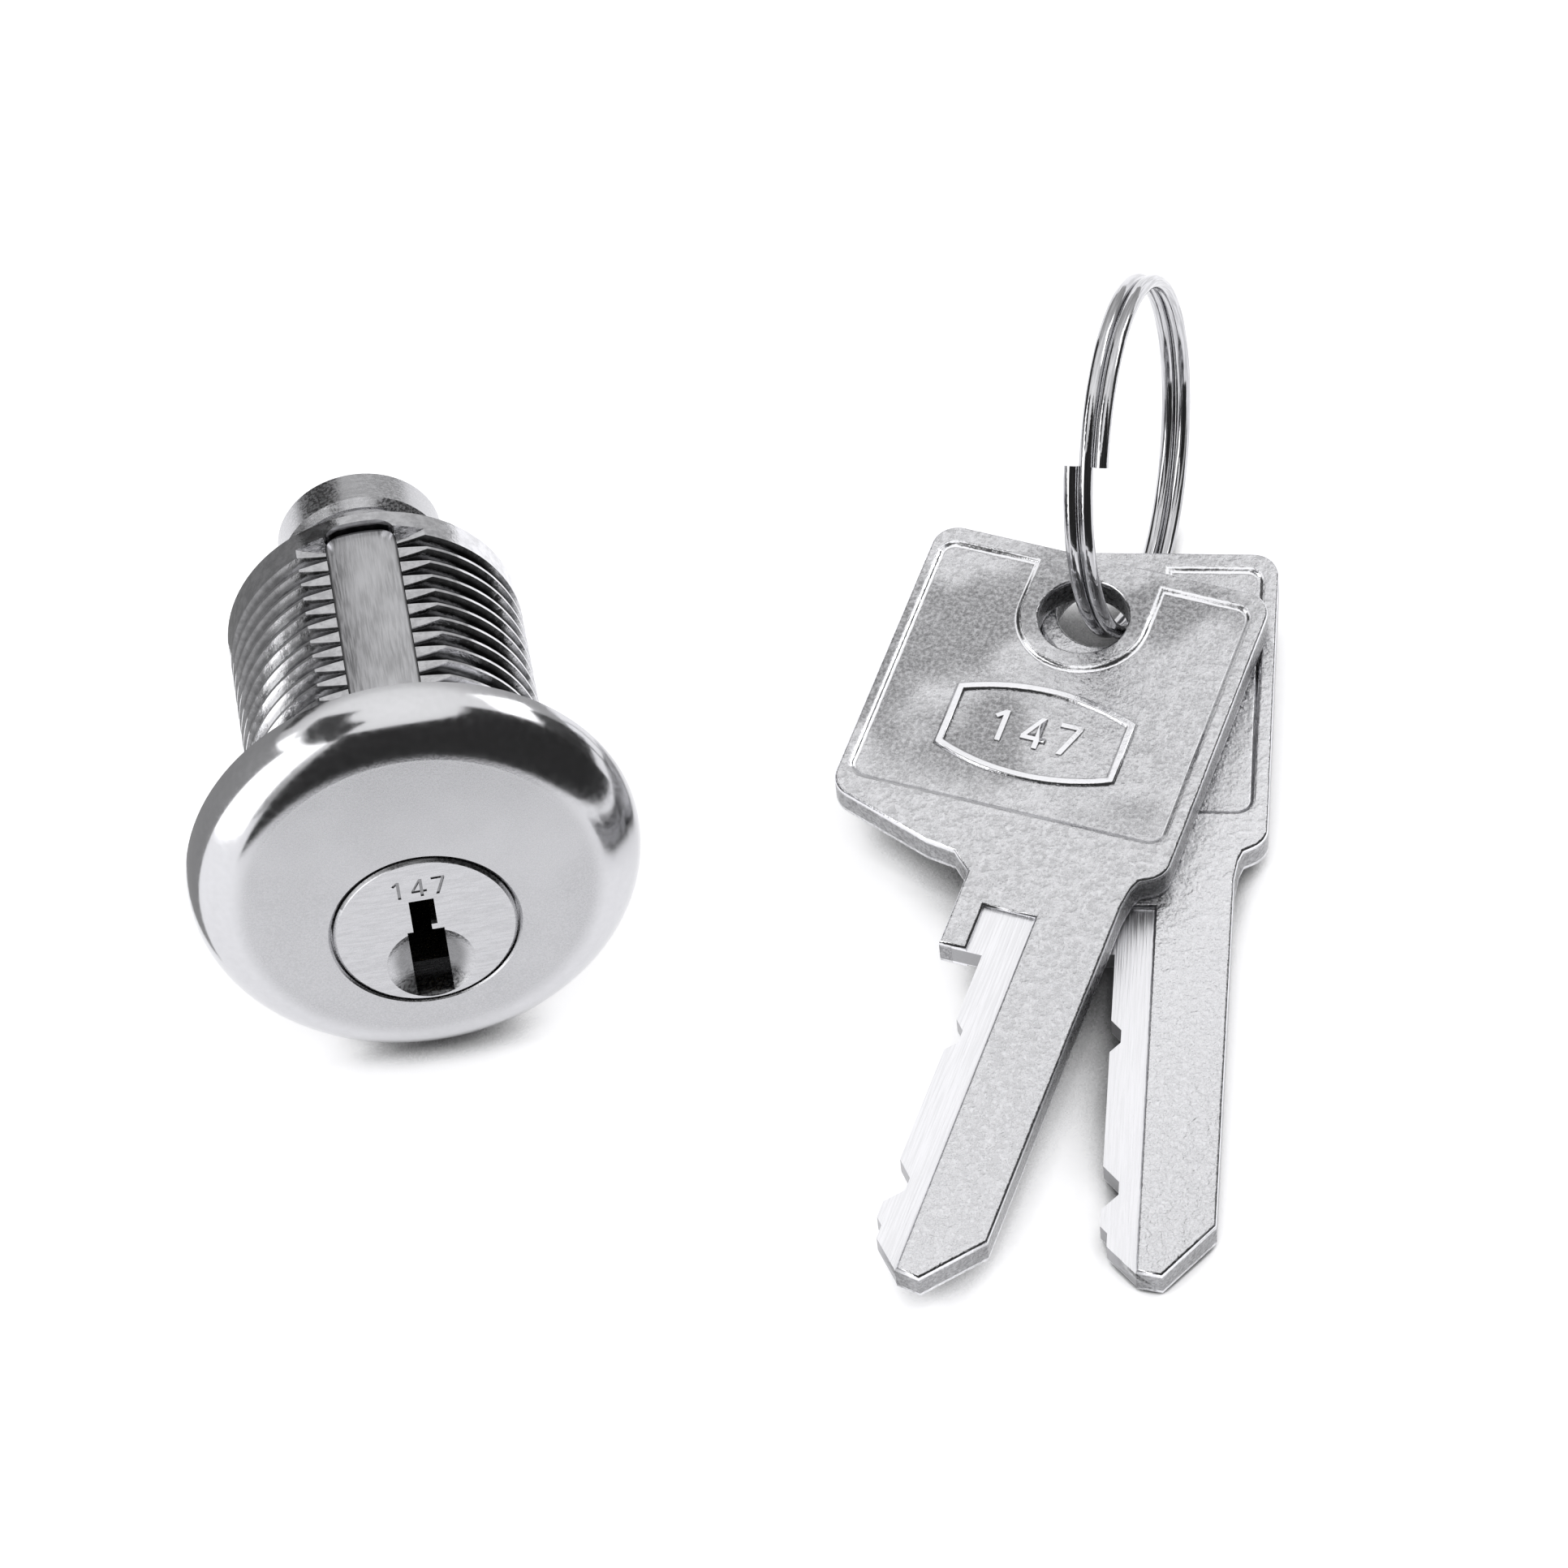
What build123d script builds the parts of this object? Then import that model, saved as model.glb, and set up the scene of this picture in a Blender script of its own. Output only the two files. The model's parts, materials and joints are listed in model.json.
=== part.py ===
from build123d import *
from math import asin, atan2, cos, degrees, radians, sin, sqrt
import os

# A pin-tumbler cam lock lying on a table, with its two keys on a split ring beside it.
# Millimetres, +Z up, the table at Z = 0, the lock's face towards -Y.

# ---------------------------------------------------------------- lock: driving dimensions
lock_x, lock_y = -23.378, -1.479        # where the lock's seat centre stands on the table

head_radius = 15.0
head_dome_radius = 200.0            # the face is very slightly crowned
head_rim_radius = 3.7               # the rounded rim
head_edge_break = 0.3

barrel_radius = 10.0                # M20 x 1.5
barrel_length = 24.3                # behind the head
barrel_rear_chamfer = 0.5
collar_length = 2.0                 # plain ring behind the thread
thread_pitch = 1.5
thread_depth = 0.88
thread_root_width = 0.25
thread_mouth_width = 1.25
shank_length = 0.8                  # plain neck between the head and the thread
flat_height = 9.0                   # flat along the top of the thread, above the barrel's axis

plug_drop = 2.95                    # plug axis below the barrel axis
plug_radius = 5.7
bore_radius = 5.75
flange_radius = 6.1
flange_bore_radius = 6.25
flange_seat = 1.6                   # bottom of the head's counterbore, ahead of the head's back
bore_countersink = 0.3
axial_gap = 0.05

neck_radius = 5.1
clip_groove_radius = 4.2
clip_groove_width = 0.9
clip_thickness = 0.8
clip_radius = 6.3
clip_mouth = 7.0
tail_length = 13.4                  # behind the barrel
tail_collar_length = 3.6
tail_chamfer = 0.5
drive_square = 5.5
drive_depth = 3.0
cam_screw_radius = 2.1              # tapping size of M5
cam_screw_depth = 10.0

keyway_narrow = 1.66
keyway_wide = 2.46
keyway_top = 2.7                    # above the plug's axis
keyway_step = 0.05
keyway_floor = -4.9
keyway_mouth_floor = -5.55
keyway_mouth_depth = 2.6
keyway_length = 26.5
ward_height = 0.45
ward_reach = 0.4
dish_radius = 2.95
dish_depth = 1.0
dish_drop = 2.85

cover_slot_width = 4.8
cover_slot_end = 23.0
cover_slot_floor = 7.4              # above the barrel's axis
cover_width = 4.7
cover_end = 22.7
cover_crown = 9.35
cover_slot_corner = 1.2
cover_corner = 1.0

first_pin = 6.6                     # from the plug's face
pin_spacing = 4.0
cut_depths = [0.7, 0.0, 0.0, 1.1, 0.5]
pin_radius = 1.1
chamber_radius = 1.15
pin_hole_floor = 0.5                # above the plug's axis
pin_edge = 0.15
driver_length = 2.1
spring_wire = 0.3
spring_turns = 5

# outlines of the figures 1, 4 and 7, one unit high, and the opening of the 4
figures = [[(0.28, 0), (0.42, 0), (0.42, 1), (0.3, 1), (0.06, 0.8), (0.14, 0.71), (0.28, 0.82)],
           [(0.38, 0), (0.52, 0), (0.52, 0.24), (0.68, 0.24), (0.68, 0.37), (0.52, 0.37), (0.52, 1),
            (0.38, 1), (0, 0.36), (0, 0.24), (0.38, 0.24)],
           [(0.15, 0), (0.3, 0), (0.62, 0.88), (0.62, 1), (0.02, 1), (0.02, 0.87), (0.47, 0.87)]]
opening_of_four = [(0.14, 0.37), (0.38, 0.37), (0.38, 0.77)]
number_depth = 0.1

# ---------------------------------------------------------------- keys and ring
key_thickness = 2.3
key_gap = 0.05
key_hole_radius = 3.1
head_half_width = 12.0
head_top = 5.1
head_low_left = 18.3
head_low_right = 19.3
neck_left = -0.8
shoulder_y = 28.6
cut_edge_x = 2.2
blade_back_x = 9.75
blade_tip_y = 54.1
band_width = 2.5                    # thinned stretch along the cut edge
band_thickness = 1.5
band_start = 24.9
panel_depth = 0.35

lower_key_x, lower_key_y = 49.27, 19.57      # hole of the lower key, from the lock's seat centre
lower_key_height = 2.24                      # underside of that hole above the table
lower_key_turn = 13.4                        # degrees, tip towards -X from -Y
upper_key_shift_x, upper_key_shift_y = -1.05, -2.32
upper_key_turn = 15.2                        # degrees further than the lower key

ring_x, ring_y, ring_z = 52.8, 25.85, 12.52  # centre, from the lock's seat centre
ring_radius = 12.0
ring_wire = 1.0
ring_pitch = 1.03
ring_heading = 23.4                          # degrees, towards +X from +Y
ring_lean = 5.9                              # degrees, top towards -X
ring_ends = 135.6                            # degrees round the ring, from its far side upwards

# ---------------------------------------------------------------- planes of the lock
rest_slope = atan2(head_radius - plug_drop - plug_radius,
                   barrel_length + tail_length - tail_chamfer + head_edge_break)
front = Vector(0, -cos(rest_slope), sin(rest_slope))
up = Vector(0, sin(rest_slope), cos(rest_slope))
seat_height = head_radius * cos(rest_slope) - head_edge_break * sin(rest_slope)
seat_centre = Vector(lock_x, lock_y, seat_height)
plug_centre = seat_centre - up * plug_drop

# across: X to the right, Y up, Z out of the face; along: X out of the face, Y up
barrel_across = Plane(origin=seat_centre, x_dir=(1, 0, 0), z_dir=front)
barrel_along = Plane(origin=seat_centre, x_dir=front, z_dir=(-1, 0, 0))
plug_across = Plane(origin=plug_centre, x_dir=(1, 0, 0), z_dir=front)
plug_along = Plane(origin=plug_centre, x_dir=front, z_dir=(-1, 0, 0))
barrel_deck = Plane(origin=seat_centre, x_dir=front, z_dir=up)
plug_deck = Plane(origin=plug_centre, x_dir=front, z_dir=up)
barrel_axis = Axis(seat_centre, front)
plug_axis = Axis(plug_centre, front)
slot_rear = Axis((0, 0, 0), (1, 0, 0))       # in the slot's sketch, from its rear end forwards

rim_centre_radius = head_radius - head_rim_radius
dome_centre = head_edge_break - sqrt((head_dome_radius - head_rim_radius) ** 2 - rim_centre_radius ** 2)
dome_angle = degrees(asin(rim_centre_radius / (head_dome_radius - head_rim_radius)))
head_thickness = dome_centre + head_dome_radius
plug_face = head_thickness - 0.1
tail_end = barrel_length + tail_length
thread_length = barrel_length - collar_length
pin_stations = [plug_face - first_pin - pin_spacing * i for i in range(len(cut_depths))]


def crown_point(angle):
    # a point of the head's crowned face, angle in degrees from the barrel's axis
    return (dome_centre + head_dome_radius * cos(radians(angle)), head_dome_radius * sin(radians(angle)))


def finish(piece, name):
    piece.part.label = name
    export_step(piece.part, f"parts/{name}.step")


def draw_number(height, centre_x, base_y):
    # a plain three-figure number, standing on base_y, drawn in the open sketch
    def outline(points, left, mode):
        with BuildLine() as pen:
            Polyline(*[(left + x * height, base_y + y * height) for x, y in points], close=True)
        make_face(pen.edges(), mode=mode)

    lefts = [centre_x + (0.9 * place - 1.25) * height for place in range(3)]
    for points, left in zip(figures, lefts):
        outline(points, left, Mode.ADD)
    outline(opening_of_four, lefts[1], Mode.SUBTRACT)


os.makedirs("parts", exist_ok=True)

# ---------------------------------------------------------------- housing: head and threaded barrel
helix_start = barrel_across.offset(-thread_length + thread_mouth_width / 2)
helix_seat = Plane(origin=helix_start.origin, x_dir=-up, z_dir=front)
groove_path = helix_seat.location * Helix(pitch=thread_pitch, height=thread_length, radius=barrel_radius)
groove_start = Plane(origin=groove_path @ 0, x_dir=-up, z_dir=groove_path % 0)
groove_clear = 0.12                 # how far the cutting profile stands out of the barrel
groove_widening = (thread_mouth_width - thread_root_width) / thread_depth

with BuildPart() as groove:
    with BuildLine():
        add(groove_path)
    with BuildSketch(groove_start):
        with BuildLine():
            outer_half = thread_mouth_width / 2 + groove_clear * groove_widening / 2
            Polyline((-thread_depth, -thread_root_width / 2), (groove_clear, -outer_half),
                     (groove_clear, outer_half), (-thread_depth, thread_root_width / 2), close=True)
        make_face()
    sweep(path=groove_path, is_frenet=True)
    # the groove stops at the flat along the barrel's top and at the neck behind the head
    with BuildSketch(barrel_across.offset(-shank_length)):
        with Locations((0, flat_height - barrel_radius - 1)):
            Rectangle(2 * barrel_radius + 2, 2 * barrel_radius + 2)
    extrude(amount=-barrel_length, mode=Mode.INTERSECT)

with BuildPart() as housing:
    # barrel blank
    with BuildSketch(barrel_along):
        with BuildLine():
            Polyline((0, 0), (0, barrel_radius), (barrel_rear_chamfer - barrel_length, barrel_radius),
                     (-barrel_length, barrel_radius - barrel_rear_chamfer), (-barrel_length, 0), close=True)
        make_face()
    revolve(axis=barrel_axis)
    # flat along the top of the thread, then the slot for the chamber cover
    with BuildSketch(barrel_across.offset(-shank_length)):
        with Locations((0, (flat_height + barrel_radius) / 2 + 1)):
            Rectangle(2 * barrel_radius, barrel_radius - flat_height + 2)
    extrude(amount=shank_length - thread_length, mode=Mode.SUBTRACT)
    with BuildSketch(barrel_deck.offset(cover_slot_floor)) as slot:
        with Locations((-(cover_slot_end + shank_length) / 2, 0)):
            Rectangle(cover_slot_end - shank_length, cover_slot_width)
        fillet(slot.vertices().group_by(slot_rear)[0], cover_slot_corner)
    extrude(amount=barrel_radius, mode=Mode.SUBTRACT)
    add(groove.part, mode=Mode.SUBTRACT)
    # crowned head with a fully rounded rim
    with BuildSketch(barrel_along):
        with BuildLine():
            crown = Spline(crown_point(0), crown_point(dome_angle / 2), crown_point(dome_angle),
                           tangents=[(0, 1), (-sin(radians(dome_angle)), cos(radians(dome_angle)))])
            rim = CenterArc((head_edge_break, rim_centre_radius), head_rim_radius,
                            dome_angle, 90 - dome_angle)
            Polyline(rim @ 1, (0, head_radius - head_edge_break), (0, 0), crown @ 0)
        make_face()
    revolve(axis=barrel_axis)
    # eccentric plug bore, counterbore for the plug's flange and its countersunk mouth
    with BuildSketch(plug_across.offset(-barrel_length - 1)):
        Circle(bore_radius)
    extrude(amount=barrel_length + head_thickness + 2, mode=Mode.SUBTRACT)
    with BuildSketch(plug_across.offset(flange_seat)):
        Circle(flange_bore_radius)
    extrude(amount=head_thickness, mode=Mode.SUBTRACT)
    with BuildSketch(plug_along):
        with BuildLine():
            Polyline((head_thickness - bore_countersink, 0),
                     (head_thickness - bore_countersink, flange_bore_radius),
                     (head_thickness + 0.2, flange_bore_radius + bore_countersink + 0.2),
                     (head_thickness + 0.2, 0), close=True)
        make_face()
    revolve(axis=plug_axis, mode=Mode.SUBTRACT)
    # pin chambers from the cover's slot down into the bore
    with BuildSketch(barrel_deck.offset(cover_slot_floor)):
        with Locations(*[(station, 0) for station in pin_stations]):
            Circle(chamber_radius)
    extrude(amount=-cover_slot_floor, mode=Mode.SUBTRACT)
finish(housing, "housing")

# ---------------------------------------------------------------- strip pressed over the chambers
with BuildPart() as chamber_cover:
    with BuildSketch(barrel_deck.offset(cover_slot_floor)) as strip:
        with Locations((-(cover_end + shank_length + axial_gap) / 2, 0)):
            Rectangle(cover_end - shank_length - axial_gap, cover_width)
        fillet(strip.vertices().group_by(slot_rear)[0], cover_corner)
    extrude(amount=barrel_radius - cover_slot_floor)
    with BuildSketch(barrel_across):
        Circle(cover_crown)
    extrude(amount=-barrel_length, mode=Mode.INTERSECT)
finish(chamber_cover, "chamber_cover")

# ---------------------------------------------------------------- plug
tail_collar_front = -tail_end + tail_collar_length
groove_rear = -barrel_length - clip_groove_width
with BuildPart() as plug:
    with BuildSketch(plug_along):
        with BuildLine():
            Polyline((-tail_end, 0),
                     (-tail_end, plug_radius - tail_chamfer), (tail_chamfer - tail_end, plug_radius),
                     (tail_collar_front - tail_chamfer, plug_radius),
                     (tail_collar_front, plug_radius - tail_chamfer), (tail_collar_front, neck_radius),
                     (groove_rear, neck_radius), (groove_rear, clip_groove_radius),
                     (-barrel_length, clip_groove_radius), (-barrel_length, plug_radius),
                     (flange_seat + axial_gap, plug_radius), (flange_seat + axial_gap, flange_radius),
                     (plug_face - 0.2, flange_radius), (plug_face, flange_radius - 0.2),
                     (plug_face, 0), close=True)
        make_face()
    revolve(axis=plug_axis)
    # keyway: a wide slot under a narrow one, with one ward, deeper near its mouth
    with BuildSketch(plug_across.offset(plug_face)):
        with Locations((0, (keyway_step + keyway_floor) / 2)):
            Rectangle(keyway_wide, keyway_step - keyway_floor)
        with Locations((0, (keyway_top + keyway_step - 0.1) / 2)):
            Rectangle(keyway_narrow, keyway_top - keyway_step + 0.1)
        with Locations((keyway_narrow / 2 - ward_reach / 2, keyway_step + ward_height / 2)):
            Rectangle(ward_reach, ward_height, mode=Mode.SUBTRACT)
    extrude(amount=-keyway_length, mode=Mode.SUBTRACT)
    with BuildSketch(plug_across.offset(plug_face)):
        with Locations((0, keyway_mouth_floor / 2)):
            Rectangle(keyway_wide, -keyway_mouth_floor)
    extrude(amount=-keyway_mouth_depth, mode=Mode.SUBTRACT)
    # round dish that guides the key's tip in
    dish_sphere = (dish_radius ** 2 + dish_depth ** 2) / (2 * dish_depth)
    with Locations(plug_across.from_local_coords((0, -dish_drop, plug_face + dish_sphere - dish_depth))):
        Sphere(dish_sphere, mode=Mode.SUBTRACT)
    # holes for the key pins
    with BuildSketch(plug_deck.offset(pin_hole_floor)):
        with Locations(*[(station, 0) for station in pin_stations]):
            Circle(chamber_radius)
    extrude(amount=plug_radius, mode=Mode.SUBTRACT)
    # square socket and screw hole for the cam
    with BuildSketch(plug_across.offset(-tail_end)):
        Rectangle(drive_square, drive_square)
    extrude(amount=drive_depth, mode=Mode.SUBTRACT)
    with BuildSketch(plug_across.offset(-tail_end)):
        Circle(cam_screw_radius)
    extrude(amount=cam_screw_depth, mode=Mode.SUBTRACT)
    # stamped key number
    with BuildSketch(plug_across.offset(plug_face)):
        draw_number(1.5, 0, 3.05)
    extrude(amount=-number_depth, mode=Mode.SUBTRACT)
finish(plug, "plug")

# ---------------------------------------------------------------- clip that holds the plug in
with BuildPart() as retaining_clip:
    with BuildSketch(plug_across.offset(-barrel_length - axial_gap)):
        Circle(clip_radius)
        Circle(clip_groove_radius + 0.05, mode=Mode.SUBTRACT)
        with Locations((0, -clip_radius / 2)):
            Rectangle(clip_mouth, clip_radius, mode=Mode.SUBTRACT)
    extrude(amount=-clip_thickness)
finish(retaining_clip, "retaining_clip")

# ---------------------------------------------------------------- pins and springs
key_pin_top = 5.56                  # just inside the plug's curve
driver_bottom = bore_radius
driver_top = driver_bottom + driver_length
spring_bottom = driver_top + 0.02
spring_top = cover_slot_floor + plug_drop - 0.02


def pin_blank(station, bottom, top, tip):
    # a round pin standing in its chamber, with a tapered lower end
    place = Plane(origin=plug_centre + front * station, x_dir=(1, 0, 0), z_dir=-front)
    with BuildPart() as pin:
        with BuildSketch(place):
            with BuildLine():
                Polyline((0, -top), (pin_radius - pin_edge, -top), (pin_radius, pin_edge - top),
                         (pin_radius, -bottom - tip), (pin_radius - tip, -bottom), (0, -bottom), close=True)
            make_face()
        revolve(axis=Axis(plug_centre + front * station, up))
    return pin


def coil_spring(station, bottom, top):
    pitch = (top - bottom - spring_wire) / spring_turns
    mean_radius = pin_radius - spring_wire / 2 - 0.05
    base = plug_centre + front * station + up * (bottom + spring_wire / 2)
    path = Plane(origin=base, x_dir=front, z_dir=up).location * Helix(
        pitch=pitch, height=pitch * spring_turns, radius=mean_radius)
    with BuildPart() as spring:
        with BuildLine():
            add(path)
        with BuildSketch(Plane(origin=path @ 0, x_dir=front, z_dir=path % 0)):
            Circle(spring_wire / 2)
        sweep(path=path, is_frenet=True)
    return spring


for number, (station, cut) in enumerate(zip(pin_stations, cut_depths), start=1):
    key_pin = pin_blank(station, keyway_top - 0.1 - cut, key_pin_top, 0.5)
    finish(key_pin, f"key_pin_{number}")
    driver_pin = pin_blank(station, driver_bottom, driver_top, pin_edge)
    finish(driver_pin, f"driver_pin_{number}")
    pin_spring = coil_spring(station, spring_bottom, spring_top)
    finish(pin_spring, f"pin_spring_{number}")

# ---------------------------------------------------------------- keys
# Key planes: origin at the ring hole, X across, Y away from the tip, Z up out of the visible side.
key_slope = asin((lower_key_height - 0.03) / (blade_tip_y - 0.5))
turn = radians(lower_key_turn)
lower_key_hole = Vector(lock_x + lower_key_x, lock_y + lower_key_y, lower_key_height)
lower_key_across = Vector(cos(turn), -sin(turn), 0)
lower_key_normal = Vector(-sin(key_slope) * sin(turn), -sin(key_slope) * cos(turn), cos(key_slope))
lower_key_plane = Plane(origin=lower_key_hole, x_dir=lower_key_across, z_dir=lower_key_normal)
upper_key_hole = lower_key_plane.from_local_coords(
    (upper_key_shift_x, upper_key_shift_y, key_thickness + key_gap))
fan = radians(upper_key_turn)
upper_key_across = lower_key_plane.x_dir * cos(fan) - lower_key_plane.y_dir * sin(fan)
upper_key_plane = Plane(origin=upper_key_hole, x_dir=upper_key_across, z_dir=lower_key_normal)


def bitting_outline():
    # cut edge from the shoulder to the tip: ramps into a flat at each pin's cut
    points = []
    for number, cut in enumerate(cut_depths):
        centre = shoulder_y + first_pin + pin_spacing * number
        if cut > 0:
            ramp = cut * 1.1
            points += [(cut_edge_x, -(centre - 0.5 - ramp)), (cut_edge_x + cut, -(centre - 0.5)),
                       (cut_edge_x + cut, -(centre + 0.5)), (cut_edge_x, -(centre + 0.5 + ramp))]
    return points[:-1]


def make_key(plane):
    with BuildPart() as key:
        # outline of the bow, neck and blade
        with BuildSketch(plane):
            with BuildLine():
                Polyline((-head_half_width, -head_low_left), (-head_half_width, head_top),
                         (head_half_width, head_top), (head_half_width, -head_low_right),
                         (10.4, -20.2), (10.1, -21.0), (9.9, -22.5),
                         (blade_back_x, -blade_tip_y + 3.9), (6.4, -blade_tip_y),
                         (4.7, -blade_tip_y + 0.3), *reversed(bitting_outline()),
                         (cut_edge_x, -shoulder_y), (neck_left, -shoulder_y),
                         (neck_left, -22.6), (-2.2, -21.2), (-4.3, -20.9), close=True)
            make_face()
        extrude(amount=key_thickness)
        upright = key.edges().filter_by(Axis(plane.origin, plane.z_dir))
        fillet([edge for edge in upright if abs(plane.to_local_coords(edge.center()).X) > 11], 1.8)
        # ring hole
        with BuildSketch(plane):
            Circle(key_hole_radius)
        extrude(amount=key_thickness, mode=Mode.SUBTRACT)
        # sunken panels on both sides, with a raised land round the hole and a raised label frame
        for face_plane, depth in ((plane.offset(key_thickness), -panel_depth), (plane, panel_depth)):
            with BuildSketch(face_plane):
                with Locations((-0.15, -6.6)):
                    RectangleRounded(22.3, 20.9, 1.2)
                Circle(4.35, mode=Mode.SUBTRACT)
                with Locations((0, 3.6)):
                    Rectangle(8.7, 7.2, mode=Mode.SUBTRACT)
            extrude(amount=depth, mode=Mode.SUBTRACT)
        for face_plane, height in ((plane.offset(key_thickness - panel_depth), 0.22),
                                   (plane.offset(panel_depth), -0.22)):
            with BuildSketch(face_plane):
                with BuildLine():
                    Line((-6.4, -12.8), (-6.4, -7.7))
                    ThreePointArc((-6.4, -7.7), (-0.1, -6.4), (6.2, -7.7))
                    Line((6.2, -7.7), (6.2, -12.8))
                    ThreePointArc((6.2, -12.8), (-0.1, -14.1), (-6.4, -12.8))
                make_face()
                offset(amount=-0.45, mode=Mode.SUBTRACT)
            extrude(amount=height)
        # raised number inside the label frame
        with BuildSketch(plane.offset(key_thickness - panel_depth)):
            draw_number(2.6, -0.1, -11.5)
        extrude(amount=number_depth)
        # milled band along the cut edge, both sides
        band_cut = (key_thickness - band_thickness) / 2
        for face_plane, depth in ((plane.offset(key_thickness), -band_cut), (plane, band_cut)):
            with BuildSketch(face_plane):
                band_left, band_right = cut_edge_x - 1.1, cut_edge_x + band_width
                with Locations(((band_left + band_right) / 2, -(band_start + blade_tip_y + 1) / 2)):
                    Rectangle(band_right - band_left, blade_tip_y + 1 - band_start)
            extrude(amount=depth, mode=Mode.SUBTRACT)
    return key


lower_key = make_key(lower_key_plane)
finish(lower_key, "key_2")
upper_key = make_key(upper_key_plane)
finish(upper_key, "key_1")

# ---------------------------------------------------------------- split ring: two turns of wire
heading, lean = radians(ring_heading), radians(ring_lean)
ring_far = Vector(sin(heading), cos(heading), 0)
ring_side = Vector(cos(heading), -sin(heading), 0)
ring_normal = ring_side * cos(lean) + Vector(0, 0, 1) * sin(lean)
ring_top = Vector(0, 0, 1) * cos(lean) - ring_side * sin(lean)
ends = radians(ring_ends)
ring_centre = Vector(lock_x + ring_x, lock_y + ring_y, ring_z)
wire_start = ring_far * cos(ends) + ring_top * sin(ends)
ring_path = Plane(origin=ring_centre - ring_normal * ring_pitch, x_dir=wire_start,
                  z_dir=ring_normal).location * Helix(
    pitch=ring_pitch, height=2 * ring_pitch, radius=ring_radius)
with BuildPart() as key_ring:
    with BuildLine():
        add(ring_path)
    with BuildSketch(Plane(origin=ring_path @ 0, x_dir=wire_start, z_dir=ring_path % 0)):
        Circle(ring_wire / 2)
    sweep(path=ring_path, is_frenet=True)
finish(key_ring, "key_ring")
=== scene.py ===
import json
from math import cos, radians, sin

import bmesh
import bpy
from mathutils import Matrix, Vector


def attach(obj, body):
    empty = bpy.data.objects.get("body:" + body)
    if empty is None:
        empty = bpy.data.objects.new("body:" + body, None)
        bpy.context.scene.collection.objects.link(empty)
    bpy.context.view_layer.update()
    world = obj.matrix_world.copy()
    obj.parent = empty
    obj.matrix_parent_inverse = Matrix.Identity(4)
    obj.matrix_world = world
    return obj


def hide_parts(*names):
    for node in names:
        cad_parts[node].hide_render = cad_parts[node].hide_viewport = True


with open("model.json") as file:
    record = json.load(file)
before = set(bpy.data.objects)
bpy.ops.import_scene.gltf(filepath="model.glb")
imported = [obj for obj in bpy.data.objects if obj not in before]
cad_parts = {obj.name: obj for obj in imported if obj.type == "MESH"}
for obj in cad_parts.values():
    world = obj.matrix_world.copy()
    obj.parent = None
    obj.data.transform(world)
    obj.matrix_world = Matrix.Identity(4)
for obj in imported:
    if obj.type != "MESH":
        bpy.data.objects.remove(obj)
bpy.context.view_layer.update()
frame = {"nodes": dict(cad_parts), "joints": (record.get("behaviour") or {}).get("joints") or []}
nodes = frame["nodes"]
MM = 0.001

# ---------------------------------------------------------------- places, in metres
PLUG_DROP = 2.95                                 # the plug's axis below the barrel's axis, in mm
KEY_TURN = radians(13.4)                         # the lower key's tip, from -Y towards -X
KEY_FAN = radians(15.2)                          # the upper key's turn, further than the lower one's
KEY_STEP_ACROSS, KEY_STEP_UP = -1.05, -2.32      # from the lower key's ring hole to the upper one's, in mm
KEY_STEP_HIGH = 2.35

joints = {joint["name"]: joint for joint in frame["joints"]}
back = Vector(joints["plug_turn"]["axis"]).normalized()      # from the lock's face to its tail
right = Vector((1, 0, 0))
up = right.cross(back)
plug_seat = Vector(joints["plug_turn"]["pos_m"])             # on the plug's axis, at the back of the head
barrel_seat = plug_seat + up * (PLUG_DROP * MM)              # the same, on the barrel's axis

key_normal = Vector(joints["key_fan"]["axis"]).normalized()
key_across = Vector((cos(KEY_TURN), -sin(KEY_TURN), 0))
key_up = key_normal.cross(key_across)
key_step = (key_across * KEY_STEP_ACROSS + key_up * KEY_STEP_UP + key_normal * KEY_STEP_HIGH) * MM
upper_hole = Vector(joints["key_fan"]["pos_m"])              # the ring hole in each key's underside
lower_hole = upper_hole - key_step
upper_across = key_across * cos(KEY_FAN) - key_up * sin(KEY_FAN)
upper_up = key_normal.cross(upper_across)

ring_centre = Vector(joints["ring_turn"]["pos_m"])
ring_normal = Vector(joints["ring_turn"]["axis"]).normalized()


def new_object(name, data):
    """A new object in the scene, at the origin."""
    piece = bpy.data.objects.new(name, data)
    bpy.context.scene.collection.objects.link(piece)
    return piece


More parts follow.
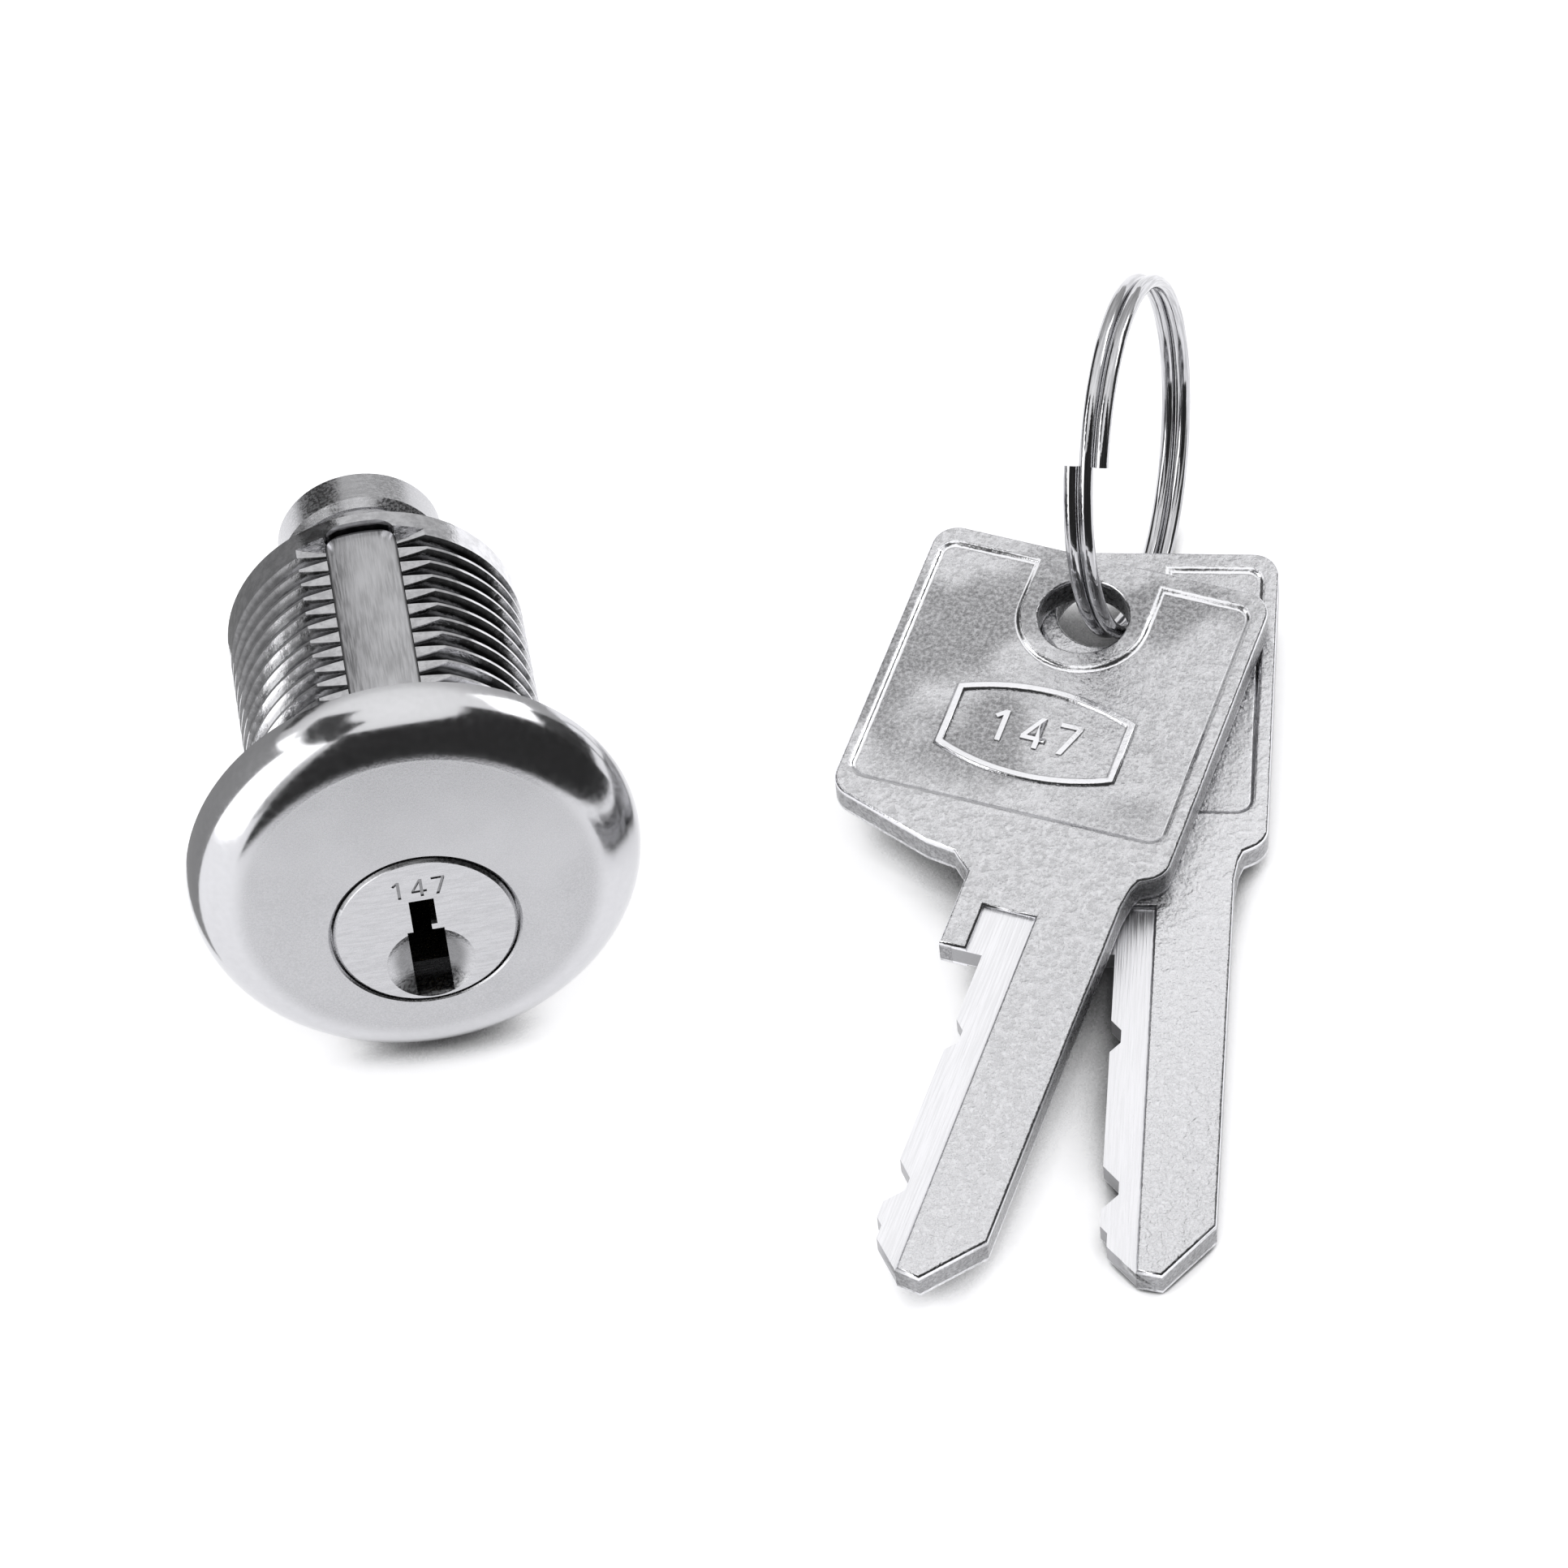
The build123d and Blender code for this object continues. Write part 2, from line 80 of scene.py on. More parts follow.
# ---------------------------------------------------------------- node helpers
class Nodes:
    """A material's node tree, with one method per kind of node that this script uses."""

    def __init__(self, name):
        self.material = bpy.data.materials.new(name)
        self.material.use_nodes = True
        self.tree = self.material.node_tree
        self.tree.nodes.clear()
        self.output = self.tree.nodes.new("ShaderNodeOutputMaterial")
        self.shader = self.tree.nodes.new("ShaderNodeBsdfPrincipled")
        self.tree.links.new(self.shader.outputs[0], self.output.inputs[0])

    def add(self, kind, **values):
        node = self.tree.nodes.new("ShaderNode" + kind)
        for key, value in values.items():
            setattr(node, key, value)
        return node

    def put(self, socket, value):
        """Links a socket to another node's output, or sets it to a number."""
        if isinstance(value, bpy.types.NodeSocket):
            self.tree.links.new(value, socket)
        else:
            socket.default_value = value

    def put_colour(self, socket, value):
        self.put(socket, value if isinstance(value, bpy.types.NodeSocket) else (*value, 1.0))

    def local(self, origin, x, y, z):
        """Millimetre coordinates in a piece's own frame."""
        place = self.add("Mapping", vector_type="TEXTURE")
        place.inputs["Location"].default_value = origin
        place.inputs["Rotation"].default_value = Matrix((x, y, z)).transposed().to_euler()
        place.inputs["Scale"].default_value = (MM, MM, MM)
        self.put(place.inputs["Vector"], self.add("TexCoord").outputs["Object"])
        return place.outputs[0]

    def split(self, vector):
        node = self.add("SeparateXYZ")
        self.put(node.inputs[0], vector)
        return node.outputs[0], node.outputs[1], node.outputs[2]

    def join(self, x, y, z):
        node = self.add("CombineXYZ")
        for socket, value in zip(node.inputs, (x, y, z)):
            self.put(socket, value)
        return node.outputs[0]

    def math(self, operation, a, b=0.0):
        node = self.add("Math", operation=operation)
        self.put(node.inputs[0], a)
        self.put(node.inputs[1], b)
        return node.outputs[0]

    def plus(self, a, b):
        return self.math("ADD", a, b)

    def times(self, a, b):
        return self.math("MULTIPLY", a, b)

    def distance(self, a, b):
        """How far a point is from an axis, given its two coordinates across the axis."""
        return self.math("SQRT", self.plus(self.times(a, a), self.times(b, b)))

    def ramp(self, value, low, high, out_low=0.0, out_high=1.0):
        """Smooth step from out_low to out_high, as value goes from low to high."""
        node = self.add("MapRange", interpolation_type="SMOOTHSTEP")
        self.put(node.inputs["Value"], value)
        self.put(node.inputs["From Min"], low)
        self.put(node.inputs["From Max"], high)
        self.put(node.inputs["To Min"], out_low)
        self.put(node.inputs["To Max"], out_high)
        return node.outputs[0]

    def noise(self, vector, scale, detail=2.0, stretch=(1, 1, 1), rough=0.5):
        """Noise that is drawn out along each axis whose stretch is under 1."""
        place = self.add("Mapping")
        place.inputs["Scale"].default_value = stretch
        self.put(place.inputs["Vector"], vector)
        node = self.add("TexNoise")
        self.put(node.inputs["Vector"], place.outputs[0])
        self.put(node.inputs["Scale"], scale)
        self.put(node.inputs["Detail"], detail)
        self.put(node.inputs["Roughness"], rough)
        return node.outputs["Fac"]

    def mix(self, factor, a, b):
        """Colour a where the factor is 0, and colour b where it is 1."""
        node = self.add("Mix", data_type="RGBA")
        self.put(node.inputs["Factor"], factor)
        colours = [socket for socket in node.inputs if socket.type == "RGBA"]
        self.put_colour(colours[0], a)
        self.put_colour(colours[1], b)
        return [socket for socket in node.outputs if socket.type == "RGBA"][0]

    def blend(self, factor, a, b):
        """Number a where the factor is 0, and number b where it is 1."""
        node = self.add("Mix", data_type="FLOAT")
        self.put(node.inputs[0], factor)
        self.put(node.inputs[2], a)
        self.put(node.inputs[3], b)
        return node.outputs[0]

    def corner_shade(self, reach):
        """1 in the piece's own inner corners, 0 on its open surfaces: a mask for painted shade."""
        node = self.add("AmbientOcclusion", samples=16, only_local=True)
        node.inputs["Distance"].default_value = reach
        return self.ramp(node.outputs["AO"], 0.88, 0.6)

    def bump(self, height, distance):
        node = self.add("Bump")
        self.put(node.inputs["Height"], height)
        self.put(node.inputs["Distance"], distance)
        return node.outputs[0]

    def finish(self, colour, roughness, normal=None, metallic=1.0):
        self.put_colour(self.shader.inputs["Base Color"], colour)
        self.put(self.shader.inputs["Roughness"], roughness)
        self.shader.inputs["Metallic"].default_value = metallic
        if normal is not None:
            self.put(self.shader.inputs["Normal"], normal)
        return self.material


def grey(value):
    """A very slightly blue grey."""
    return (value, value, value * 1.03)


# ---------------------------------------------------------------- where each finish starts and ends
# Pairs for Nodes.ramp, in mm: the first number is where the thing named is absent, the second is where
# it is full. On the lock, "back" counts from the back of the head, and "out" from the axis.
FACE_OUT = (12.6, 11.2)
FACE_BACK = (-3.2, -3.7)
BARREL_BACK = (-0.1, 0.1)
THREAD_BACK = (22.45, 22.25)
THREAD_ROOT_OUT = (9.92, 9.62)
BELOW_FLAT = (8.97, 8.9)
ROOT_SHADE_LEFT_TO_RIGHT = (-10.0, 3.0)           # across the barrel, where the painted shade in its roots goes from about half to full strength, darker towards the right
STRIP_SIDE_OUT = (2.18, 2.32)
STRIP_END_BACK = (22.45, 22.6)
PLUG_INSIDE_FRONT = (-4.1, -3.6)
PLUG_INSIDE_REAR = (24.0, 23.0)
NUMBER_FLOOR_FRONT = (-4.20, -4.15)
NUMBER_FLOOR_REAR = (-3.9, -4.0)
NUMBER_ABOVE_AXIS = (2.9, 3.0)

# The same on a key: "across" from the ring hole, "away" up from it (the tip is at -54), and "high"
# above the underside. The milled band's left side steps from 1.1 to -1.0 across at the shoulder.
BAND_LEFT_ABOVE_SHOULDER, BAND_LEFT_BELOW_SHOULDER = 1.1, -1.0
BAND_RIGHT_ACROSS = (4.72, 4.66)
BAND_SHOULDER_AWAY = (-28.55, -28.65)
BAND_START_AWAY = (-24.85, -24.95)
BAND_EDGE = (-0.03, 0.03)
PANEL_AWAY = (-17.5, -13.0)
WEAR_AND_HIGHLIGHT_LOW_SIDE = (1.96, 2.01)
WEAR_AND_HIGHLIGHT_TOP_SIDE = (2.295, 2.26)
SIDE_SHADE_HIGH_LOW_SIDE = (0.40, 0.45)
SIDE_SHADE_HIGH_TOP_SIDE = (1.92, 1.86)
BAND_SIDE_SHADE_HIGH_LOW_SIDE = (0.42, 0.46)
BAND_SIDE_SHADE_HIGH_TOP_SIDE = (1.88, 1.84)
CORNER_SHADE_REACH = 0.5 * MM               # in metres, how near the walls of a corner with painted shade are


# ---------------------------------------------------------------- materials
def chrome_housing():
    """Polished chrome: a softer grained face, a mirror rim, cast-looking thread with painted shade in its
    roots.
    """
    n = Nodes("chrome_housing")
    place = n.local(barrel_seat, right, back, up)
    x, along, z = n.split(place)
    radius = n.distance(x, z)
    on_face = n.times(n.ramp(radius, *FACE_OUT), n.ramp(along, *FACE_BACK))
    on_barrel = n.ramp(along, *BARREL_BACK)
    in_thread = n.times(on_barrel, n.ramp(along, *THREAD_BACK))
    grain = n.ramp(n.noise(place, 7.0, 4.0, rough=0.6), 0.38, 0.62)
    wear = n.ramp(n.noise(place, 1.6, 4.0, rough=0.65), 0.35, 0.65)
    fine = n.noise(place, 2.2, 3.0)
    tone = n.noise(place, 0.16, 2.0)
    # painted shade in the thread's roots, below the flat, stronger towards the right
    root_shade = n.times(n.ramp(radius, *THREAD_ROOT_OUT), n.ramp(z, *BELOW_FLAT))
    root_shade = n.times(in_thread, root_shade)
    root_shade = n.times(root_shade, n.ramp(x, *ROOT_SHADE_LEFT_TO_RIGHT, 0.45, 1.0))
    face_colour = n.mix(grain, grey(0.42), grey(0.49))
    face_colour = n.mix(n.ramp(tone, 0.3, 0.7, 0.0, 0.35), face_colour, grey(0.56))
    rim_colour = n.mix(fine, grey(0.57), grey(0.64))
    barrel_colour = n.mix(wear, grey(0.60), grey(0.76))
    colour = n.mix(on_face, rim_colour, face_colour)
    colour = n.mix(on_barrel, colour, barrel_colour)
    colour = n.mix(root_shade, colour, grey(0.05))
    rim_roughness = n.ramp(fine, 0.3, 0.7, 0.12, 0.17)
    face_roughness = n.ramp(grain, 0.0, 1.0, 0.20, 0.30)
    barrel_roughness = n.ramp(wear, 0.0, 1.0, 0.10, 0.18)
    roughness = n.blend(on_barrel, n.blend(on_face, rim_roughness, face_roughness), barrel_roughness)
    face_height = n.times(grain, n.blend(on_face, 0.0, 0.0015))
    height = n.blend(on_barrel, face_height, n.times(wear, 0.004))
    return n.finish(colour, roughness, n.bump(height, MM))


def satin_strip():
    """Satin nickel strip with fine lines along it, and painted shade on its sides and end."""
    n = Nodes("satin_strip")
    place = n.local(barrel_seat, right, back, up)
    lines = n.noise(place, 9.0, 3.0, stretch=(1, 0.06, 1))
    clouds = n.noise(place, 0.5, 2.0, stretch=(1, 0.5, 1))
    colour = n.mix(n.ramp(lines, 0.35, 0.65), grey(0.44), grey(0.58))
    colour = n.mix(n.ramp(clouds, 0.35, 0.7, 0, 0.5), colour, grey(0.72))
    x, along = n.split(place)[:2]
    # painted shade on the strip's sides and on its rear end
    side = n.ramp(n.math("ABSOLUTE", x), *STRIP_SIDE_OUT)
    end_shade = n.ramp(along, *STRIP_END_BACK)
    colour = n.mix(n.math("MAXIMUM", side, end_shade), colour, grey(0.14))
    return n.finish(colour, n.ramp(lines, 0.3, 0.7, 0.28, 0.42), n.bump(lines, 0.006 * MM))


def plug_nickel():
    """Fine-turned nickel with scratches across the face, and painted shade inside and in the stamped
    number.
    """
    n = Nodes("plug_nickel")
    place = n.local(plug_seat, right, back, up)
    scratches = n.noise(place, 7.0, 3.0, stretch=(0.12, 1, 1))
    grain = n.ramp(n.noise(place, 5.0, 4.0), 0.4, 0.6)
    along, z = n.split(place)[1:]
    # painted shade inside the plug and its keyway
    inside = n.times(n.ramp(along, *PLUG_INSIDE_FRONT), n.ramp(along, *PLUG_INSIDE_REAR))
    colour = n.mix(n.ramp(scratches, 0.35, 0.65), grey(0.46), grey(0.55))
    colour = n.mix(n.times(grain, 0.3), colour, grey(0.62))
    # painted shade on the floor of the stamped number
    stamped = n.times(n.ramp(along, *NUMBER_FLOOR_FRONT), n.ramp(along, *NUMBER_FLOOR_REAR))
    stamped = n.times(stamped, n.ramp(z, *NUMBER_ABOVE_AXIS))
    colour = n.mix(n.math("MAXIMUM", inside, stamped), colour, grey(0.24))
    roughness = n.ramp(n.plus(scratches, n.times(grain, 0.4)), 0.4, 1.0, 0.2, 0.36)
    return n.finish(colour, roughness, n.bump(scratches, 0.008 * MM))


def key_nickel(name, hole, across, away, panel_shade, blade_painted_sheen):
    """Grainy cast nickel, with milled bands along the cut edge."""
    n = Nodes(name)
    place = n.local(hole, across, away, key_normal)
    x, y, z = n.split(place)
    grain = n.ramp(n.noise(place, 3.6, 4.0, rough=0.7), 0.36, 0.66)
    coarse = n.ramp(n.noise(place, 1.3, 3.0, rough=0.6), 0.36, 0.64)
    blotch = n.noise(place, 0.10, 2.0)
    lines = n.ramp(n.noise(place, 8.0, 2.0, stretch=(1, 0.03, 1)), 0.36, 0.64)
    band_left = n.ramp(y, *BAND_SHOULDER_AWAY, BAND_LEFT_ABOVE_SHOULDER, BAND_LEFT_BELOW_SHOULDER)
    in_band = n.times(n.ramp(x, *BAND_RIGHT_ACROSS), n.ramp(y, *BAND_START_AWAY))
    in_band = n.times(in_band, n.ramp(n.math("SUBTRACT", x, band_left), *BAND_EDGE))
    # cast metal, dark in blotches on the panels, with a painted sheen that lightens it towards the tip
    cast = n.mix(grain, grey(0.48), grey(0.74))
    cast = n.mix(n.times(coarse, 0.4), cast, grey(0.84))
    shaded = n.times(n.ramp(y, *PANEL_AWAY), n.times(n.ramp(blotch, 0.54, 0.40), panel_shade))
    cast = n.mix(shaded, cast, n.mix(grain, grey(0.14), grey(0.44)))
    painted_sheen = n.ramp(n.plus(blade_painted_sheen, n.times(y, -0.02)), 0.5, 1.6, 0.0, 0.92)
    cast = n.mix(painted_sheen, cast, n.mix(grain, grey(0.74), grey(0.86)))
    # bright on the panel slopes, the frame and the number, partly wear and partly a painted highlight;
    # painted shade on the key's sides and in its corners
    worn_and_highlight = n.times(n.ramp(z, *WEAR_AND_HIGHLIGHT_LOW_SIDE), n.ramp(z, *WEAR_AND_HIGHLIGHT_TOP_SIDE))
    cast = n.mix(n.times(worn_and_highlight, 0.9), cast, grey(0.86))
    # painted shade on the key's sides
    side = n.times(n.ramp(z, *SIDE_SHADE_HIGH_LOW_SIDE), n.ramp(z, *SIDE_SHADE_HIGH_TOP_SIDE))
    cast = n.mix(n.times(side, 0.8), cast, n.mix(grain, grey(0.14), grey(0.34)))
    # painted shade in the key's inner corners
    cast = n.mix(n.times(n.corner_shade(CORNER_SHADE_REACH), 0.7), cast, grey(0.12))
    # painted shade on the side walls of the milled band
    band_side_shade = n.times(n.ramp(z, *BAND_SIDE_SHADE_HIGH_LOW_SIDE), n.ramp(z, *BAND_SIDE_SHADE_HIGH_TOP_SIDE))
    milled = n.mix(lines, grey(0.80), grey(0.94))
    milled = n.mix(n.times(band_side_shade, 0.75), milled, grey(0.20))
    colour = n.mix(in_band, cast, milled)
    cast_roughness = n.blend(worn_and_highlight, n.ramp(grain, 0.0, 1.0, 0.20, 0.36), 0.14)
    roughness = n.blend(in_band, cast_roughness, n.ramp(lines, 0.0, 1.0, 0.3, 0.42))
    cast_height = n.plus(n.times(grain, 0.014), n.times(coarse, 0.03))
    cast_height = n.times(cast_height, n.blend(worn_and_highlight, 1.0, 0.25))
    height = n.blend(in_band, cast_height, n.times(lines, 0.006))
    return n.finish(colour, roughness, n.bump(height, MM))


def drawn_wire():
    """Polished wire with faint draw lines along the coil."""
    n = Nodes("drawn_wire")
    side = ring_normal.orthogonal().normalized()
    place = n.local(ring_centre, side, ring_normal.cross(side), ring_normal)
    x, y, z = n.split(place)
    angle = n.math("ARCTAN2", y, x)
    wound = n.join(n.distance(x, y), n.times(angle, 0.5), z)
    lines = n.noise(wound, 9.0, 2.0)
    clouds = n.noise(place, 0.4, 2.0)
    colour = n.mix(n.ramp(lines, 0.35, 0.65), grey(0.44), grey(0.62))
    roughness = n.ramp(n.plus(lines, clouds), 0.7, 1.3, 0.06, 0.13)
    return n.finish(colour, roughness, n.bump(lines, 0.004 * MM))


def turned_metal(name, dark, light, rough_low, rough_high):
    """Small turned or drawn metal pieces inside and behind the lock."""
    n = Nodes(name)
    place = n.local(plug_seat, right, back, up)
    rings = n.noise(place, 9.0, 2.0, stretch=(0.1, 0.1, 1))
    grain = n.noise(place, 3.0, 3.0)
    colour = n.mix(n.times(n.plus(rings, grain), 0.5), dark, light)
    roughness = n.ramp(rings, 0.3, 0.7, rough_low, rough_high)
    return n.finish(colour, roughness, n.bump(rings, 0.006 * MM))


brass = turned_metal("turned_brass", (0.62, 0.43, 0.16), (0.83, 0.63, 0.30), 0.2, 0.32)
steel = turned_metal("drawn_steel", grey(0.42), grey(0.62), 0.22, 0.36)
zinc = turned_metal("stamped_zinc", grey(0.36), grey(0.56), 0.3, 0.45)
finishes = {
    "housing": chrome_housing(),
    "chamber_cover": satin_strip(),
    "plug": plug_nickel(),
    "retaining_clip": zinc,
    "key_ring": drawn_wire(),
    "key_1": key_nickel("key_nickel_upper", upper_hole, upper_across, upper_up, 0.75, 0.2),
    "key_2": key_nickel("key_nickel_lower", lower_hole, key_across, key_up, 0.2, 0.9),
}
for number in range(1, 6):
    finishes[f"key_pin_{number}"] = brass
    finishes[f"driver_pin_{number}"] = brass
    finishes[f"pin_spring_{number}"] = steel
for name, material in finishes.items():
    slots = nodes[name].data.materials
    if not slots:
        slots.append(material)
    for index in range(len(slots)):
        slots[index] = material


# ---------------------------------------------------------------- keys with worn, rounded edges
# All in mm, except the angles.
KEY_THICKNESS = 2.3
PANEL_DEPTH = 0.35                     # how far the panels are sunk, on each side
FRAME_HEIGHT = 0.22                    # of the label frame above its panel
LEVEL_TOLERANCE = 0.01
SAME_POINT = 0.002                     # vertices nearer than this are one
LABEL_MIDDLE = -0.1                    # the label frame's middle, measured across from the ring hole
FRAME_HALF_WIDTH, FRAME_LOW, FRAME_TOP = 7, -14.8, -5.8
NUMBER_HALF_WIDTH, NUMBER_LOW, NUMBER_TOP = 5.5, -12.4, -8.4
PANEL_WALL_LEAN, FRAME_WALL_LEAN = 0.38, 0.12
KEY_EDGE_ROUND, FRAME_EDGE_ROUND = 0.2, 0.09
LEAST_EDGE_ANGLE = radians(30)
SHARP_ANGLE = radians(32)


def rounded_key(name, node, body, hole, across, away):
    """The key's own shape, with its panel walls sloped and its cast edges rounded."""
    mesh = nodes[node].data.copy()
    shape = bmesh.new()
    shape.from_mesh(mesh)
    bmesh.ops.remove_doubles(shape, verts=shape.verts, dist=SAME_POINT * MM)
    bmesh.ops.dissolve_limit(shape, angle_limit=radians(1), verts=shape.verts, edges=shape.edges)
    to_local = Matrix((across, away, key_normal))

    def local(vertex):
        """A vertex's place in the key's own frame, in mm."""
        return (to_local @ (vertex.co - hole)) / MM

    def share_level(vertices, levels):
        """Whether the vertices all lie at the same one of these heights above the underside."""
        return any(all(abs(local(vertex).z - level) < LEVEL_TOLERANCE for vertex in vertices)
                   for level in levels)

    def wall_lean(vertex):
        """How far the foot of the wall at this vertex moves: the number's walls stay upright."""
        x, y = local(vertex).xy
        if abs(x - LABEL_MIDDLE) < NUMBER_HALF_WIDTH and NUMBER_LOW < y < NUMBER_TOP:
            return 0.0
        if abs(x - LABEL_MIDDLE) < FRAME_HALF_WIDTH and FRAME_LOW < y < FRAME_TOP:
            return FRAME_WALL_LEAN
        return PANEL_WALL_LEAN

    def slope_walls():
        """Moves the foot of each wall of the sunken panels outwards, so that the wall leans."""
        moves = []
        for vertex in shape.verts:
            if not share_level([vertex], (PANEL_DEPTH, KEY_THICKNESS - PANEL_DEPTH)):
                continue
            walls = [face.normal for face in vertex.link_faces if abs(face.normal.dot(key_normal)) < 0.1]
            if not walls:
                continue
            outward = sum(walls, Vector()).normalized()
            at_corner = max(0.5, outward.dot(walls[0]))
            moves.append((vertex, outward * wall_lean(vertex) * MM / at_corner))
        for vertex, move in moves:
            vertex.co += move
        shape.normal_update()

    def round_edges(levels, width):
        """Rounds the sharp edges that lie at these heights above the underside."""
        edges = [edge for edge in shape.edges
                 if len(edge.link_faces) == 2 and edge.calc_face_angle() > LEAST_EDGE_ANGLE
                 and share_level(edge.verts, levels)]
        bmesh.ops.bevel(shape, geom=edges, offset=width * MM, offset_type="OFFSET", segments=3,
                        profile=0.5, affect="EDGES", clamp_overlap=False)

    slope_walls()
    round_edges((0.0, KEY_THICKNESS), KEY_EDGE_ROUND)
    frame_level = PANEL_DEPTH - FRAME_HEIGHT
    round_edges((frame_level, KEY_THICKNESS - frame_level), FRAME_EDGE_ROUND)
    for face in shape.faces:
        face.smooth = True
    shape.to_mesh(mesh)
    shape.free()
    mesh.set_sharp_from_angle(angle=SHARP_ANGLE)
    piece = new_object(name, mesh)
    piece.modifiers.new("flat_faces", "WEIGHTED_NORMAL").keep_sharp = True
    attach(piece, body)
    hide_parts(node)


rounded_key("upper_key_cast", "key_1", "upper_key", upper_hole, upper_across, upper_up)
rounded_key("lower_key_cast", "key_2", "lower_key", lower_hole, key_across, key_up)


# ---------------------------------------------------------------- floor and studio cards
FLOOR_HALF_WIDTH = 4.0
FLOOR_HEIGHT = -0.0002                 # just under the object
SHADOW_REACH = 0.008
FLOOR_GLOW = 0.62
CARD_STEPS = 24


def staged_mesh(name, corners, faces, material):
    mesh = bpy.data.meshes.new(name)
    mesh.from_pydata(corners, [], faces)
    mesh.materials.append(material)
    piece = new_object(name, mesh)
    return piece


def floor_look():
    """Pale floor with a glow of its own, dimmed near the object as a soft contact shadow."""
    n = Nodes("floor_white")
    grain = n.noise(n.add("TexCoord").outputs["Object"], 40.0, 2.0)
    near = n.add("AmbientOcclusion", samples=8)
    near.inputs["Distance"].default_value = SHADOW_REACH
    open_air = n.ramp(near.outputs["AO"], 0.32, 0.56)
    n.shader.inputs["Emission Color"].default_value = (1, 1, 1, 1)
    n.put(n.shader.inputs["Emission Strength"], n.times(open_air, FLOOR_GLOW))
    colour = n.mix(open_air, grey(0.10), n.mix(grain, grey(0.60), grey(0.62)))
    return n.finish(colour, 0.9, metallic=0.0)


def emitter(name, strength):
    material = bpy.data.materials.new(name)
    material.use_nodes = True
    tree = material.node_tree
    tree.nodes.clear()
    light = tree.nodes.new("ShaderNodeEmission")
    light.inputs["Color"].default_value = (1, 1, 1, 1)
    light.inputs["Strength"].default_value = strength
    out = tree.nodes.new("ShaderNodeOutputMaterial")
    tree.links.new(light.outputs[0], out.inputs[0])
    return material


def studio_card(name, strength, radius, azimuths, heights, centre=plug_seat):
    """An upright curved card that shows only in reflections: azimuth 0 is -Y of its centre, 90 is +X."""
    points, faces = [], []
    for step in range(CARD_STEPS + 1):
        turn = radians(azimuths[0] + (azimuths[1] - azimuths[0]) * step / CARD_STEPS)
        for height in heights:
            points.append((centre.x + radius * sin(turn), centre.y - radius * cos(turn), height))
    for step in range(CARD_STEPS):
        faces.append((2 * step, 2 * step + 2, 2 * step + 3, 2 * step + 1))
    card = staged_mesh(name, points, faces, emitter(name, strength))
    card.visible_camera = False
    card.visible_diffuse = False
    card.visible_shadow = False
    card.visible_transmission = False


floor_corners = [(x * FLOOR_HALF_WIDTH, y * FLOOR_HALF_WIDTH, FLOOR_HEIGHT)
                 for x, y in ((-1, -1), (1, -1), (1, 1), (-1, 1))]
staged_mesh("floor", floor_corners, [(0, 1, 2, 3)], floor_look())

# Name, strength, radius in metres, azimuths in degrees, heights in metres. card_left gives the head's
# rim its white patch. The two beside the barrel dim the thread's left side. The others are dark, and
# give the rim and the ring their black bands.
barrel_middle = plug_seat + back * (12 * MM)
studio_card("card_front", 0.03, 0.080, (-36, 94), (0.0, 0.145))
studio_card("card_left", 2.4, 0.100, (-100, -44), (0.015, 0.14))
studio_card("card_left_rear", 0.20, 0.036, (-165, -104), (0.0, 0.028))
studio_card("card_left_barrel", 0.34, 0.024, (-125, -58), (0.0, 0.040), barrel_middle)
studio_card("card_left_top", 0.06, 0.105, (-130, -36), (0.15, 0.36))
studio_card("card_far_left", 0.05, 0.170, (-150, -112), (0.0, 0.12), ring_centre)
studio_card("card_far_right", 0.05, 0.110, (62, 118), (0.0, 0.09), ring_centre)


# ---------------------------------------------------------------- lights and sky
LIGHT_DISTANCE = 0.8
LIGHT_WIDTH = 0.40
light_target = Vector((0, 0, 0.01))


def soft_light(name, direction, height, power):
    """A rectangular soft light facing the object; direction points from the object to the light."""
    data = bpy.data.lights.new(name, "AREA")
    data.shape = "RECTANGLE"
    data.size = LIGHT_WIDTH
    data.size_y = height
    data.energy = power
    light = new_object(name, data)
    light.location = light_target + Vector(direction).normalized() * LIGHT_DISTANCE
    light.rotation_euler = Vector(direction).to_track_quat("Z", "Y").to_euler()


soft_light("light_left", (-0.85, 0.10, 0.60), 0.30, 0.5)
soft_light("light_right", (0.80, 0.35, 0.55), 0.35, 0.9)

